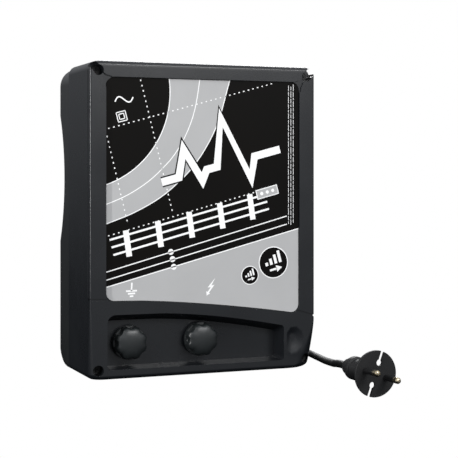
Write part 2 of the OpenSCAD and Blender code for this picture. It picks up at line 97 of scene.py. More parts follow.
for step in range(int(COIL_TURNS * TURN_POINTS) + 1):
    turn = step / TURN_POINTS
    if turn < LOWER_TURNS:
        ring_r = COIL_OUT - CORD_D * turn
        ring_z = COIL_FOOT
    else:
        climb = min(1, (turn - LOWER_TURNS) / CLIMB_TURNS)
        low_r = COIL_OUT - CORD_D * LOWER_TURNS
        ring_r = low_r + (COIL_OUT - low_r) * (turn - LOWER_TURNS) / (COIL_TURNS - LOWER_TURNS)
        ring_z = COIL_FOOT + CORD_D * (3 - 2 * climb) * climb * climb
    a = math.radians(90) + 2 * math.pi * turn
    coil_route.append((COIL_CENTRE[0] + ring_r * math.cos(a), COIL_CENTRE[1] + ring_r * math.sin(a), ring_z))


def smooth_path(points, steps):
    """Points along a Catmull-Rom curve through the given ones."""
    path = []
    ends = [Vector(points[0]) * 2 - Vector(points[1])] + [Vector(p) for p in points]
    ends.append(Vector(points[-1]) * 2 - Vector(points[-2]))
    for i in range(1, len(ends) - 2):
        a, b, c, d = ends[i - 1], ends[i], ends[i + 1], ends[i + 2]
        for k in range(steps):
            t = k / steps
            path.append(0.5 * (2 * b + (c - a) * t + (2 * a - 5 * b + 4 * c - d) * t * t
                               + (3 * b - a - 3 * c + d) * t ** 3))
    return path + [ends[-2]]


cord_points = [p * MM for p in smooth_path(cord_in_route + coil_route + cord_out_route, 2)]
cord_data = bpy.data.curves.new("mains_cord", "CURVE")
cord_data.dimensions = "3D"
spline = cord_data.splines.new("POLY")
spline.points.add(len(cord_points) - 1)
for point, place in zip(spline.points, cord_points):
    point.co = (*place, 1)
    point.radius = CORD_D / 2 * MM
spline.use_smooth = True
# The radius is each point's own, because the curve's box is reckoned from it.
cord_data.bevel_depth = 1
cord_data.bevel_resolution = 4
cord_data.use_fill_caps = True
mains_cord = bpy.data.objects.new("mains_cord", cord_data)
bpy.context.collection.objects.link(mains_cord)
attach(mains_cord, HOUSING)
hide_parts("mains_cord_in", "mains_cord_out", "cord_coil")

# --- Front cover ------------------------------------------------------------------
# The deep front half of the housing, moulded in anthracite ABS with a fine matt
# texture. Raised rails frame the label, and the terminal tray is sunk in its foot.
COVER_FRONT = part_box("front_cover")[0].y / MM
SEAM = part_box("front_cover")[1].y / MM
HALF_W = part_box("front_cover")[1].x / MM
CASE_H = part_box("front_cover")[1].z / MM
WALL = 3
TOP_R = 8
FOOT_R = 5
EDGE_R = 3.5
RAIL_R = 1.6
TOE_RADII = (9, 21)
TOE_TOPS = (66, 42)


def pick(obj):
    """Makes the piece the only one selected, and the active one."""
    bpy.ops.object.select_all(action="DESELECT")
    bpy.context.view_layer.objects.active = obj
    obj.select_set(True)


def loft(name, rings):
    """A closed skin through rings of points in millimetres, each with as many points."""
    shape = bmesh.new()
    loops = [[shape.verts.new(Vector(p) * MM) for p in ring] for ring in rings]
    for low, high in zip(loops, loops[1:]):
        for k in range(len(low)):
            m = (k + 1) % len(low)
            shape.faces.new((low[k], low[m], high[m], high[k]))
    shape.faces.new(loops[0])
    shape.faces.new(loops[-1])
    bmesh.ops.remove_doubles(shape, verts=shape.verts, dist=0.01 * MM)
    bmesh.ops.recalc_face_normals(shape, faces=shape.faces)
    mesh = bpy.data.meshes.new(name)
    shape.to_mesh(mesh)
    shape.free()
    obj = bpy.data.objects.new(name, mesh)
    bpy.context.collection.objects.link(obj)
    return obj


def arc(cx, cy, r, start, sweep=90, steps=8):
    """Points of an arc, angles in degrees."""
    turns = [math.radians(start + sweep * k / steps) for k in range(steps + 1)]
    return [(cx + r * math.cos(a), cy + r * math.sin(a)) for a in turns]


def prism(name, outline, y0, y1):
    """A block whose outline in X and Z runs from y0 to y1."""
    return loft(name, [[(x, y, z) for x, z in outline] for y in (y0, y1)])


def bar_y(name, x, z, r, y0, y1, sides=48):
    """A round bar along Y."""
    return prism(name, arc(x, z, r, 0, 360, sides)[:-1], y0, y1)


def apply_modifier(obj, kind, **settings):
    """Adds a modifier with its settings and applies it."""
    modifier = obj.modifiers.new(kind.lower(), kind)
    for key, value in settings.items():
        setattr(modifier, key, value)
    pick(obj)
    bpy.ops.object.modifier_apply(modifier=modifier.name)


def combine(body, tool, operation="DIFFERENCE"):
    """Cuts the tool from the body, or joins it, and removes the tool."""
    apply_modifier(body, "BOOLEAN", operation=operation, object=tool, solver="EXACT")
    bpy.data.objects.remove(tool)


def soften(obj, width, segments=2, angle=30):
    """Merges flat faces, rounds the sharp edges and shades the rest smooth."""
    pick(obj)
    bpy.ops.object.mode_set(mode="EDIT")
    bpy.ops.mesh.select_all(action="SELECT")
    bpy.ops.mesh.remove_doubles(threshold=0.02 * MM)
    bpy.ops.mesh.dissolve_limited(angle_limit=math.radians(0.5))
    bpy.ops.object.mode_set(mode="OBJECT")
    apply_modifier(obj, "BEVEL", width=width * MM, segments=segments, limit_method="ANGLE",
                   angle_limit=math.radians(angle), use_clamp_overlap=True, miter_outer="MITER_ARC")
    bpy.ops.object.shade_smooth_by_angle(angle=math.radians(40))
    apply_modifier(obj, "WEIGHTED_NORMAL", keep_sharp=True)


def cover_rings(inset, extra):
    """Level sections of the cover, drawn in by inset, and at the front by extra too."""
    rings = []
    levels = [FOOT_R * (1 - math.cos(math.radians(k * 90 / 5))) for k in range(6)]
    levels += [FOOT_R + (TOE_TOPS[0] - FOOT_R) * k / 18 for k in range(1, 19)]
    levels += [CASE_H - TOP_R + TOP_R * math.sin(math.radians(k * 90 / 7)) for k in range(8)]
    for z in levels:
        low, high = max(0, FOOT_R - z), max(0, z - (CASE_H - TOP_R))
        side = FOOT_R - math.sqrt(FOOT_R ** 2 - low ** 2) + TOP_R - math.sqrt(max(0, TOP_R ** 2 - high ** 2))
        rim = max(0, EDGE_R - z, z - (CASE_H - EDGE_R))
        rim = EDGE_R - math.sqrt(max(0, EDGE_R ** 2 - rim ** 2))
        w = HALF_W - inset - side
        y = COVER_FRONT + inset + extra + rim
        back = SEAM + (1 if inset else 0)
        left, right = [RAIL_R + (toe - RAIL_R) * (max(0, top - z) / top) ** 1.3
                       for toe, top in zip(TOE_RADII, TOE_TOPS)]
        ring = [(-w, back)] + arc(-w + left, y + left, left, 180)
        ring += arc(w - right, y + right, right, 270) + [(w, back)]
        z = inset + z * (CASE_H - 2 * inset) / CASE_H
        rings.append([(px, py, z) for px, py in ring])
    return rings


POCKET_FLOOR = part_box("face_label")[1].y / MM
TRAY_DEPTH = 17
TRAY_L, TRAY_R = -HALF_W + 15, HALF_W - 29.5
TRAY_FLOOR = COVER_FRONT + TRAY_DEPTH
LEDGE = 8
TRAY_CROWN_X, TRAY_CROWN, TRAY_FALL = -45, 53.6, 15.4


def tray_top(x):
    """The tray's upper edge: level at its left, then falling in a curve to its right."""
    return TRAY_CROWN - TRAY_FALL * (max(0, x - TRAY_CROWN_X) / (TRAY_R - TRAY_CROWN_X)) ** 1.6


def tray_ring(t, grow=0.0):
    """Outline of the tray at the share t of its depth."""
    x0, x1 = TRAY_L + 1.2 * t - grow, TRAY_R - 1.8 * t + grow
    z0 = LEDGE + 1.2 * t - grow

    def top(x):
        return tray_top(x) - 6.3 * t + grow
    big, small = 7, 3
    ring = arc(x0 + small, z0 + small, small, 180) + arc(x1 - small, z0 + small, small, 270)
    ring += arc(x1 - small, top(x1 - small) - small, small, 0)
    ring += [(x, top(x)) for x in (x1 - small - (x1 - x0 - small - big) * k / 24 for k in range(1, 24))]
    ring += arc(x0 + big, top(x0 + big) - big, big, 90)
    return ring


def ring_at(outline, y):
    return [(x, y, z) for x, z in outline]


front_cover = loft("front_cover_moulding", cover_rings(0, 0))
hollow = loft("hollow", cover_rings(WALL, POCKET_FLOOR - COVER_FRONT))
combine(hollow, prism("tray_wall", tray_ring(0, 3), COVER_FRONT, TRAY_FLOOR + WALL))
dish_back = [(TRAY_R - 2, -5), (TRAY_R + 19, -5), (TRAY_R + 19, 40), (TRAY_R - 2, 40)]
combine(hollow, prism("dish_wall", dish_back, COVER_FRONT, COVER_FRONT + 9))
COLUMN_X, COLUMN_TOP, COLUMN_FOOT = 95, CASE_H - 8, 8
corners = [(sx * COLUMN_X, z) for sx in (-1, 1) for z in (COLUMN_FOOT, COLUMN_TOP)]
for x, z in corners:
    combine(hollow, bar_y("column", x, z, 6.5, COVER_FRONT, SEAM + 2, 24))
combine(front_cover, hollow)
combine(front_cover, loft("tray", [ring_at(tray_ring(-1 / TRAY_DEPTH), COVER_FRONT - 1),
                                   ring_at(tray_ring(1), TRAY_FLOOR)]))

# A scooped hollow to the right of the tray leaves a thin upright ridge between them.
DISH_DEPTH = 1.9
DISH_X, DISH_Z = 8, 20
dish_lip = [(3, 7), (2.4, 14), (2.4, 24), (6.5, 29), (12.5, 29.5), (18, 25.5), (20.5, 18),
            (18.5, 10), (13, 5), (7, 3.5)]
dish = [[(TRAY_R + x, COVER_FRONT - 1, LEDGE + z) for x, z in dish_lip]]
for turn in range(0, 86, 12):
    shrink, depth = 1 - 0.8 * (turn / 84) ** 0.8, DISH_DEPTH * math.sin(math.radians(turn))
    dish.append([(TRAY_R + DISH_X + (x - DISH_X) * shrink, COVER_FRONT + depth,
                  LEDGE + DISH_Z + (z - DISH_Z) * shrink) for x, z in dish_lip])
combine(front_cover, loft("dish", dish))

LABEL_L, LABEL_R, LABEL_TOP = -HALF_W + 14.4, HALF_W - 14.8, CASE_H - 13.6
LABEL_CORNER = 7
LABEL_FOOT, LABEL_FALL, LABEL_BEND = 65.3, 16.8, LABEL_L + 13


def label_foot(x):
    """The label's lower edge: level up to its bend, then falling to its right."""
    return LABEL_FOOT - LABEL_FALL * (max(0, x - LABEL_BEND) / (LABEL_R - LABEL_BEND)) ** 1.5


def label_outline(grow):
    """Square-shouldered at the top, with a lower edge that falls away to the right."""
    r = LABEL_CORNER + grow
    outline = arc(LABEL_R - LABEL_CORNER, LABEL_TOP - LABEL_CORNER, r, 0)
    outline += arc(LABEL_L + LABEL_CORNER, LABEL_TOP - LABEL_CORNER, r, 90)
    outline += arc(LABEL_L + LABEL_CORNER, LABEL_FOOT + LABEL_CORNER, r, 180)
    span = LABEL_R - LABEL_L
    outline += [(x, label_foot(x) - grow) for x in (LABEL_L + span * k / 24 for k in range(4, 22))]
    outline += arc(LABEL_R - LABEL_CORNER, LABEL_FOOT - LABEL_FALL + LABEL_CORNER + 1, r, 270)
    return outline


combine(front_cover, prism("label_pocket", label_outline(0.4), COVER_FRONT - 1, POCKET_FLOOR))

# Screw wells in the corners. The upper two break out through the corners, and
# from each a sunk web flares out to the label's corner.
WELL_R, WELL_FLOOR, WEB_DEPTH = 4.5, COVER_FRONT + 12, 1.5
web_outline = [(8, 6.6), (10.8, 9.2), (14.3, 11.7), (19, 13), (22, 16), (17, 21), (13.4, 22),
               (12.6, 18), (10.8, 13.7), (8, 10)]
for x, z in corners:
    side = 1 if x > 0 else -1
    combine(front_cover, bar_y("well", x, z, WELL_R, COVER_FRONT - 2, WELL_FLOOR, 40))
    if z == COLUMN_TOP:
        combine(front_cover, bar_y("well_mouth", x + side * 3.3, z + 3, 3.9,
                                   COVER_FRONT - 2, WELL_FLOOR - 1, 40))
        web = [(side * (HALF_W - inward), CASE_H - down) for inward, down in web_outline]
        combine(front_cover, prism("web", web, COVER_FRONT - 1, COVER_FRONT + WEB_DEPTH))
    combine(front_cover, bar_y("screw_hole", x, z, 1.9, WELL_FLOOR - 1, SEAM + 1, 24))

# A narrow groove under the foot of each side rail, carried around the edge.
GROOVE_W, GROOVE_DEPTH, GROOVE_SIDE = 1.8, 1.1, 0.9
for x0, z0, x1, z1 in ((-HALF_W - 1, 67, LABEL_L + 2.5, 66.4), (LABEL_R - 3, 51, HALF_W + 1, 45.5)):
    h = GROOVE_W / 2
    combine(front_cover, prism("groove", [(x0, z0 - h), (x1, z1 - h), (x1, z1 + h), (x0, z0 + h)],
                               COVER_FRONT - 1, COVER_FRONT + GROOVE_DEPTH))
for sx, z in ((-1, 67), (1, 45.8)):
    h = GROOVE_W / 2
    inner, outer = sx * (HALF_W - GROOVE_SIDE), sx * (HALF_W + 1)
    lip = [(inner, z - h), (outer, z - h), (outer, z + h), (inner, z + h)]
    combine(front_cover, prism("groove_side", lip, COVER_FRONT - 1, COVER_FRONT + 6))

# Two round seats for the terminals stand on the tray's floor.
terminal_x = [(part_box(n)[0].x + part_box(n)[1].x) / 2 / MM for n in ("earth_stud", "fence_stud")]
TERMINAL_Z = (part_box("earth_stud")[0].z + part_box("earth_stud")[1].z) / 2 / MM
STUD_R = (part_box("earth_stud")[1].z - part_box("earth_stud")[0].z) / 2 / MM
for x in terminal_x:
    combine(front_cover, bar_y("seat", x, TERMINAL_Z, 13.5, TRAY_FLOOR - 1, TRAY_FLOOR + 1), "UNION")
    combine(front_cover, bar_y("stud_hole", x, TERMINAL_Z, STUD_R + 0.1, TRAY_FLOOR - 3, TRAY_FLOOR + 5))
soften(front_cover, 0.7)
# A shallow channel along each side sets off the rail at the front.
for side in (-1, 1):
    channel = [(side * (HALF_W - 0.5), COVER_FRONT + 5), (side * (HALF_W + 1), COVER_FRONT + 4.6),
               (side * (HALF_W + 1), COVER_FRONT + 8), (side * (HALF_W - 0.5), COVER_FRONT + 7.6)]
    combine(front_cover, loft("channel", [[(x, y, z) for x, y in channel] for z in (68, 257)]))
pick(front_cover)
bpy.ops.object.shade_smooth_by_angle(angle=math.radians(40))
apply_modifier(front_cover, "WEIGHTED_NORMAL", keep_sharp=True, weight=90)
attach(front_cover, HOUSING)
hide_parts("front_cover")


def linear(code):
    """A hex colour in sRGB as linear numbers with alpha."""
    parts = [int(code[i:i + 2], 16) / 255 for i in (1, 3, 5)]
    return [c / 12.92 if c <= 0.04045 else ((c + 0.055) / 1.055) ** 2.4 for c in parts] + [1]


def node(tree, kind, links=(), **settings):
    """Adds a node, sets its values and links its inputs: (input, node, output)."""
    made = tree.nodes.new("ShaderNode" + kind)
    for key, value in settings.items():
        if key[0] == "_":
            socket = made.inputs[int(key[1:])]
            socket.default_value = value
        else:
            setattr(made, key, value)
    for target, source, output in links:
        tree.links.new(source.outputs[output], made.inputs[target])
    return made


def shader(name, colour, roughness, **sockets):
    """A new material whose own shader has the plain values given."""
    material = bpy.data.materials.new(name)
    material.use_nodes = True
    tree = material.node_tree
    bsdf = tree.nodes["Principled BSDF"]
    bsdf.inputs["Base Color"].default_value = linear(colour)
    bsdf.inputs["Roughness"].default_value = roughness
    for key, value in sockets.items():
        bsdf.inputs[key.replace("_", " ")].default_value = value
    return material, tree, bsdf


def moulded(name, dark, light, roughness, grain_mm, depth, patch_mm=40, **sockets):
    """Moulded plastic: a fine spark-eroded grain, with slow changes of tone and gloss."""
    material, tree, bsdf = shader(name, dark, roughness, **sockets)
    place = node(tree, "TexCoord")
    patches = node(tree, "TexNoise", [("Vector", place, "Object")])
    patches.inputs["Scale"].default_value = 1000 / patch_mm
    patches.inputs["Detail"].default_value = 4
    tone = node(tree, "ValToRGB", [("Fac", patches, "Fac")])
    tone.color_ramp.elements[0].position = 0.3
    tone.color_ramp.elements[0].color = linear(dark)
    tone.color_ramp.elements[1].position = 0.7
    tone.color_ramp.elements[1].color = linear(light)
    tree.links.new(tone.outputs["Color"], bsdf.inputs["Base Color"])
    gloss = node(tree, "MapRange", [("Value", patches, "Fac")], _3=roughness - 0.04, _4=roughness + 0.05)
    tree.links.new(gloss.outputs["Result"], bsdf.inputs["Roughness"])
    grain = node(tree, "TexVoronoi", [("Vector", place, "Object")], feature="SMOOTH_F1")
    grain.inputs["Scale"].default_value = 1000 / grain_mm
    bump = node(tree, "Bump", [("Height", grain, "Distance")])
    bump.inputs["Strength"].default_value = depth
    bump.inputs["Distance"].default_value = 0.1 * MM
    tree.links.new(bump.outputs["Normal"], bsdf.inputs["Normal"])
    return material


def dress(obj, material):
    obj.data.materials.clear()
    obj.data.materials.append(material)


# ABS, moulded with a fine eroded grain: an even satin, nearly black and a little blue.
abs_front = moulded("abs_anthracite_front", "#121417", "#16181b", 0.27, 0.7, 0.12)
dress(front_cover, abs_front)

# --- Rear shell -------------------------------------------------------------------
# The shallow wall half of the housing, in the same ABS. A hand grips it by the
# hollow scooped out of each rear edge, and it hangs from two keyholes.
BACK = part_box("rear_shell")[1].y / MM
SHELL_R, HEEL_R, REAR_RIM = 16, 20, 3


def shell_rings(inset):
    """Upright sections of the rear shell from the seam to the wall face."""
    rings = []
    y0 = SEAM - (1 if inset else 0)
    depths = [y0, SEAM + 6] + [BACK - HEEL_R + HEEL_R * math.sin(math.radians(k * 10)) for k in range(10)]
    for y in depths:
        lift = max(0, y - (BACK - HEEL_R))
        lift = HEEL_R - math.sqrt(HEEL_R ** 2 - min(lift, HEEL_R) ** 2)
        rim = max(0, y - (BACK - REAR_RIM))
        rim = REAR_RIM - math.sqrt(REAR_RIM ** 2 - min(rim, REAR_RIM) ** 2)
        w = HALF_W - inset - rim
        z0, z1 = inset + max(lift, rim), CASE_H - inset - rim
        low, high = max(1, FOOT_R - inset - rim * 0.5), SHELL_R - inset - rim * 0.5
        outline = arc(w - low, z0 + low, low, 270) + arc(w - high, z1 - high, high, 0)
        outline += arc(-w + high, z1 - high, high, 90) + arc(-w + low, z0 + low, low, 180)
        rings.append([(x, y0 if inset and y == y0 else y - inset, z) for x, z in outline])
    return rings


rear_shell = loft("rear_shell_moulding", shell_rings(0))
GRIP_DEPTH, GRIP_W, GRIP_Z, GRIP_R = 17, 22, 167, 116


def grip(side, grow):
    """The scoop at one side: a long shallow arc, closed off towards the middle."""
    reach = math.degrees(math.acos((GRIP_R - GRIP_DEPTH - 4) / GRIP_R))
    bow = arc(BACK + GRIP_R - GRIP_DEPTH, GRIP_Z, GRIP_R + grow, 180 - reach, 2 * reach, 36)
    inner, outer = HALF_W - GRIP_W - grow, HALF_W + 2 + grow
    return loft("grip", [[(side * x, y, z) for y, z in bow] for x in (inner, outer)])


shell_hollow = loft("shell_hollow", shell_rings(WALL))
for side in (-1, 1):
    combine(shell_hollow, grip(side, WALL))
combine(rear_shell, shell_hollow)
for side in (-1, 1):
    combine(rear_shell, grip(side, 0))
KEYHOLE_X, KEYHOLE_Z, KEYHOLE_R, KEYHOLE_SLOT = 60, 236, 4.5, 2.3
for side in (-1, 1):
    keyhole = arc(side * KEYHOLE_X, KEYHOLE_Z, KEYHOLE_R, 121, 298, 32)
    keyhole += arc(side * KEYHOLE_X, KEYHOLE_Z + 9, KEYHOLE_SLOT, 0, 180, 12)
    combine(rear_shell, prism("keyhole", keyhole, BACK - WALL - 2, BACK + 1))
gland_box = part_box("cord_gland")
GLAND_Y = (gland_box[0].y + gland_box[1].y) / 2 / MM
GLAND_Z = (gland_box[0].z + gland_box[1].z) / 2 / MM
gland_hole = loft("gland_hole", [[(x, y, z) for y, z in arc(GLAND_Y, GLAND_Z, 6.1, 0, 360, 40)[:-1]]
                                 for x in (HALF_W - 6, HALF_W + 2)])
combine(rear_shell, gland_hole)
# The wall face is sunk a little inside its rim.
panel = arc(72, 40, 6, 270) + arc(72, 214, 6, 0) + arc(-72, 214, 6, 90) + arc(-72, 40, 6, 180)
combine(rear_shell, prism("rear_panel", panel, BACK - 0.8, BACK + 1))
soften(rear_shell, 0.7)
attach(rear_shell, HOUSING)
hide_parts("rear_shell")
# The same ABS, a shade duller and less blue than the cover's.
abs_rear = moulded("abs_anthracite_rear", "#17191a", "#1b1d1e", 0.34, 0.7, 0.12)
dress(rear_shell, abs_rear)

# --- Label ------------------------------------------------------------------------
# A printed film lies in the pocket: grey and white shapes on black, each colour a
# few hundredths of a millimetre above the last. Its marks are plain and generic.
LABEL_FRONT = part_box("face_label")[0].y / MM
PRINT_STEP = 0.03
PRINT_TILT = math.radians(14.7)


def at(u, z):
    """A place on the label, u millimetres from the housing's left edge."""
    return (u - HALF_W, z)


def tilted(u, z, points):
    """Places along the print's slanting baseline, which starts at (u, z)."""
    c, s = math.cos(PRINT_TILT), math.sin(PRINT_TILT)
    return [at(u + px * c - pz * s, z + px * s + pz * c) for px, pz in points]


def disc(u, z, r):
    return arc(*at(u, z), r, 0, 360, 32)[:-1]


def stroke(points, width):
    """Outline of a line of even width through the points, with mitred corners."""
    points = [Vector(p) for p in points]
    steps = [(b - a).normalized() for a, b in zip(points, points[1:])]
    left, right = [], []
    for here, before, after in zip(points, steps[:1] + steps, steps + steps[-1:]):
        along = (before + after).normalized()
        side = Vector((-along.y, along.x)) * (width / 2 / max(0.4, along.dot(before)))
        left.append(tuple(here + side))
        right.append(tuple(here - side))
    return left + right[::-1]


def dotted(u0, z0, u1, z1, width=0.9, pitch=4.5):
    """Short dashes from one place to another."""
    a, b = Vector(at(u0, z0)), Vector(at(u1, z1))
    step = (b - a).normalized()
    count = int((b - a).length / pitch)
    return [stroke([a + step * pitch * k, a + step * (pitch * k + 1.35)], width) for k in range(count)]


def print_layer(name, level, outlines, material):
    """Flat shapes of one colour, raised above the film by some print steps."""
    shape = bmesh.new()
    for outline in outlines:
        low, high = [[shape.verts.new(Vector((x, y, z)) * MM) for x, z in outline]
                     for y in (LABEL_FRONT + 0.02, LABEL_FRONT - PRINT_STEP * level)]
        for k in range(len(low)):
            m = (k + 1) % len(low)
            shape.faces.new((low[k], low[m], high[m], high[k]))
        shape.faces.new(low)
        shape.faces.new(high)
    bmesh.ops.recalc_face_normals(shape, faces=shape.faces)
    mesh = bpy.data.meshes.new(name)
    shape.to_mesh(mesh)
    shape.free()
    layer = bpy.data.objects.new(name, mesh)
    bpy.context.collection.objects.link(layer)
    dress(layer, material)
    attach(layer, HOUSING)


# Screen-printed polycarbonate film: flat, even ink with almost no gloss.
film_black = moulded("film_black", "#060504", "#0a0806", 0.55, 2.5, 0.05, 60, Specular_IOR_Level=0.08)
film_grey = moulded("film_grey", "#adadad", "#b4b4b4", 0.5, 2.5, 0.05, 60, Specular_IOR_Level=0.2)
film_white = moulded("film_white", "#f2f2f1", "#fafaf9", 0.5, 2.5, 0.05, 60, Specular_IOR_Level=0.2)
label_film = prism("label_film", label_outline(0), LABEL_FRONT, POCKET_FLOOR)
dress(label_film, film_black)
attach(label_film, HOUSING)
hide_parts("face_label")

# A wide grey road sweeps from the top to the left edge, with a white centre line.
# The foot of the label is grey below a slanting boundary.
inner_edge = arc(*at(-11.9, 240), 82.4, 7.9, -79.2, 24)
outer_bends = [(124.9, 251.3, 0), (112.4, 211.3, 0), (92.9, 179.1, 0), (67.1, 154.8, 0),
               (40.4, 139.4, 0), (14.5, 129.4, 0)]
outer_edge = [at(*p[:2]) for p in smooth_path(outer_bends, 5)]
outer_edge = [outer_edge[round(k * (len(outer_edge) - 1) / 24)] for k in range(25)]
middle_line = [((a[0] + b[0]) / 2, (a[1] + b[1]) / 2) for a, b in zip(inner_edge, outer_edge)]
grey_foot = [at(14.5, 76.8)] + label_outline(-0.05)[18:] + [at(190.1, 122.8)]
print_layer("print_grey", 1, [inner_edge + outer_edge[::-1], grey_foot], film_grey)
# White edges, wires with three insulators on them, dotted grid lines, and the
# signs for alternating current, double insulation, earth and output.
white = [stroke(line, 0.8) for line in (inner_edge, outer_edge, middle_line)]
white += [stroke([at(14.6, z0), at(u1, z1)], 0.9)
          for z0, u1, z1 in ((76.8, 190, 122.8), (89.4, 179, 134), (82.7, 179, 126.9))]
white += [disc(71.2, 104.9, 2.5), disc(72.7, 98.8, 2.5), disc(73.8, 92.2, 2.5)]
white += dotted(44.3, 250, 73.5, 135.3) + dotted(15, 202.6, 34.1, 125.3)
white += dotted(16, 208.5, 169.6, 251.2) + dotted(16, 119.4, 152.5, 156.1)
white.append(stroke(tilted(22, 231, [(k * 0.9, 3.2 * math.sin(k * math.pi / 9)) for k in range(19)]), 1.1))
for size in (8, 4.4):
    frame_line = [(0, 0), (size, 0), (size, size), (0, size), (0, 0)]
    corner = (8 - size) / 2
    white += [stroke(tilted(25, 214, [(a[0] + corner, a[1] + corner), (b[0] + corner, b[1] + corner)]), 0.8)
              for a, b in zip(frame_line, frame_line[1:])]
white.append(stroke([at(36.7, 80), at(36.4, 73)], 1.4))
white += [stroke([at(36.4 - w, 73 - 2.2 * k), at(36.4 + w, 73.2 - 2.2 * k)], 1.4)
          for k, w in enumerate((4.8, 3.2, 1.6))]
white.append([at(107.2 + px, 74.2 + pz) for px, pz in
              ((4.2, 7.4), (-2.8, -0.6), (0.2, -0.2), (-2.6, -4.2), (-3.9, -3.6), (-3.6, -7.4), (-0.4, -5.6),
               (-1.5, -5), (3.6, 1.6), (0.8, 1.2))])
white += [disc(166.1, 93.6, 14), disc(143.8, 83, 8.2)]
# A fence of five posts and three wires, and a bold pulse that rises from a line.
white += [stroke(tilted(21, 102, [(0, h), (146, h)]), 1.7) for h in (1.5, 8, 14.5)]
posts = [stroke(tilted(21, 102, [(s, -3.5), (s + 2.5, 18.5)]), 5) for s in (13, 42, 71, 100, 129)]
pulse = tilted(64, 160, [(0, 4), (16, 4), (26, 26), (36, -4), (42, 4), (52, 4), (66, 44), (80, -14),
                         (88, 4), (113, 4)])
print_layer("print_pulse_shadow", 3, [stroke(pulse, 9)], film_black)
print_layer("print_pulse", 4, [stroke(pulse, 6.6)] + posts, film_white)
badge = tilted(150, 152.5, [(0, 0), (21, 0)])
print_layer("print_badge_rim", 4, [stroke(badge, 8.4)], film_white)
# Up the right-hand edge, three columns of fine dashes of uneven length.
rows = [(180.6, 127), (182.9, 126), (185.2, 128)]
for row, (u, z) in enumerate(rows):
    k = 0
    while z < 246:
        length = 2.2 + (k * 7 + row * 3) % 5 * 0.9
        white.append(stroke([at(u, z), at(u, z + length)], 0.45))
        z += length + 0.9
        k += 1
print_layer("print_white", 2, white, film_white)
print_layer("print_badges", 4, [disc(166.1, 93.6, 13.1), disc(143.8, 83, 7.5)], film_black)
print_layer("print_badge_bar", 5, [stroke(tilted(150, 152.5, [(0.8, 0), (20.2, 0)]), 6.9)], film_grey)
# In the round badges, a rising row of bars over an arrow.
bars = []
for u, z, s in ((166.1, 93.6, 1), (143.8, 83, 0.56)):
    bars += [stroke(tilted(u, z, [(px * s, -1.5 * s), (px * s, (-1.5 + h) * s)]), 2.6 * s)
             for px, h in ((-6.5, 3), (-2.2, 5.5), (2.2, 8), (6.5, 10.5))]
    bars.append(stroke(tilted(u, z, [(-5 * s, -6 * s), (2 * s, -6 * s)]), 1.8 * s))
    bars.append(tilted(u, z, [(1.5 * s, -9 * s), (7 * s, -6 * s), (1.5 * s, -3 * s)]))
bars += [disc(*spot, 1.5) for spot in ((155, 153.8), (160.2, 155.2), (165.4, 156.6))]
print_layer("print_badge_marks", 6, bars, film_white)

# --- Terminals --------------------------------------------------------------------
# Two screw-down terminals: a fixed M8 screw, a clamp washer that travels along it,
# and a moulded knob on a brass insert, with eight finger scallops and a domed face.
KNOB_R, LOBES, SCALLOP_R, SCALLOP_AT = 14.5, 8, 4, 16.5


def lobed(a, share):
    """Radius of the knob at the angle a, with its scallops cut to a share of their depth."""
    off = (a + math.pi / LOBES) % (2 * math.pi / LOBES) - math.pi / LOBES
    reach = abs(SCALLOP_AT * math.sin(off))
    if reach >= SCALLOP_R:
        return KNOB_R
    cut = SCALLOP_AT * math.cos(off) - math.sqrt(SCALLOP_R ** 2 - reach ** 2)
    return min(KNOB_R, KNOB_R + (cut - KNOB_R) * share)


def metal(name, dark, light, roughness, grain_mm=0.5, depth=0.1, **sockets):
    """Bare or plated metal: faint handling marks in its tone and its gloss."""
    material, tree, bsdf = shader(name, dark, roughness, Metallic=1.0, **sockets)
    place = node(tree, "TexCoord")
    marks = node(tree, "TexNoise", [("Vector", place, "Object")], _2=90, _3=6)
    tone = node(tree, "ValToRGB", [("Fac", marks, "Fac")])
    tone.color_ramp.elements[0].position = 0.35
    tone.color_ramp.elements[0].color = linear(dark)
    tone.color_ramp.elements[1].position = 0.65
    tone.color_ramp.elements[1].color = linear(light)
    tree.links.new(tone.outputs["Color"], bsdf.inputs["Base Color"])
    gloss = node(tree, "MapRange", [("Value", marks, "Fac")], _3=roughness - 0.08, _4=roughness + 0.08)
    tree.links.new(gloss.outputs["Result"], bsdf.inputs["Roughness"])
    grain = node(tree, "TexNoise", [("Vector", place, "Object")], _2=1000 / grain_mm)
    bump = node(tree, "Bump", [("Height", grain, "Fac")], _0=depth, _1=0.05 * MM)
    tree.links.new(bump.outputs["Normal"], bsdf.inputs["Normal"])
    return material


def threaded(name, dark, light, roughness, pitch_mm):
    """The same metal with a screw thread along Y in its surface."""
    material = metal(name, dark, light, roughness)
    tree = material.node_tree
    place = node(tree, "TexCoord")
    thread = node(tree, "TexWave", [("Vector", place, "Object")], bands_direction="Y",
                  _1=1000 * math.pi / 10 / pitch_mm)
    bump = node(tree, "Bump", [("Height", thread, "Fac")], _0=1.0, _1=0.6 * MM)
    tree.links.new(bump.outputs["Normal"], tree.nodes["Principled BSDF"].inputs["Normal"])
    return material


def dress_nodes(material, *names):
    """Gives CAD pieces their material and smooth shading across their round faces."""
    for name in names:
        piece = bpy.data.objects[name]
        dress(piece, material)
        pick(piece)
        bpy.ops.object.shade_smooth_by_angle(angle=math.radians(35))


# Glass-filled nylon, moulded: black with a soft sheen that a thumb has polished.
knob_black = moulded("knob_black", "#16191a", "#1a1e1f", 0.38, 0.6, 0.25, 25)
